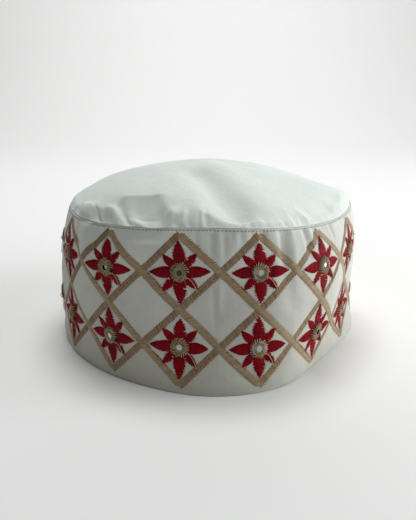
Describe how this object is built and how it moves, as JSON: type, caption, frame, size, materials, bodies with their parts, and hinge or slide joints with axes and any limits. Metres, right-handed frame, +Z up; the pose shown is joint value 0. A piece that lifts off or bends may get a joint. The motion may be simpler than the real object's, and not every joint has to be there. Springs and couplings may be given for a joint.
{
  "type": "kufi cap",
  "caption": "Round brimless cloth cap with a soft top and a stiff side wall set with small round mirrors, worn on the head.",
  "frame": {"origin": "on the floor under the middle of the cap's bounding box, at the height of the open rim", "axes": "+Z up from the rim to the soft top, -Y to the front, +X to the wearer's left"},
  "size_m": [0.1948, 0.1946, 0.1093],
  "materials": {
    "top_cloth": "soft white cotton, lightly gathered",
    "wall_cloth": "stiff doubled white cotton",
    "mirror": "silvered glass, polished"
  },
  "bodies": {
    "root": {"crown": "top_cloth", "side_band": "wall_cloth", "mirror_upper_01": "mirror", "mirror_upper_02": "mirror", "mirror_upper_03": "mirror", "mirror_upper_04": "mirror", "mirror_upper_05": "mirror", "mirror_upper_06": "mirror", "mirror_upper_07": "mirror", "mirror_upper_08": "mirror", "mirror_upper_09": "mirror", "mirror_upper_10": "mirror", "mirror_upper_11": "mirror", "mirror_upper_12": "mirror", "mirror_upper_13": "mirror", "mirror_upper_14": "mirror", "mirror_lower_01": "mirror", "mirror_lower_02": "mirror", "mirror_lower_03": "mirror", "mirror_lower_04": "mirror", "mirror_lower_05": "mirror", "mirror_lower_06": "mirror", "mirror_lower_07": "mirror", "mirror_lower_08": "mirror", "mirror_lower_09": "mirror", "mirror_lower_10": "mirror", "mirror_lower_11": "mirror", "mirror_lower_12": "mirror", "mirror_lower_13": "mirror", "mirror_lower_14": "mirror"}
  },
  "joints": []
}
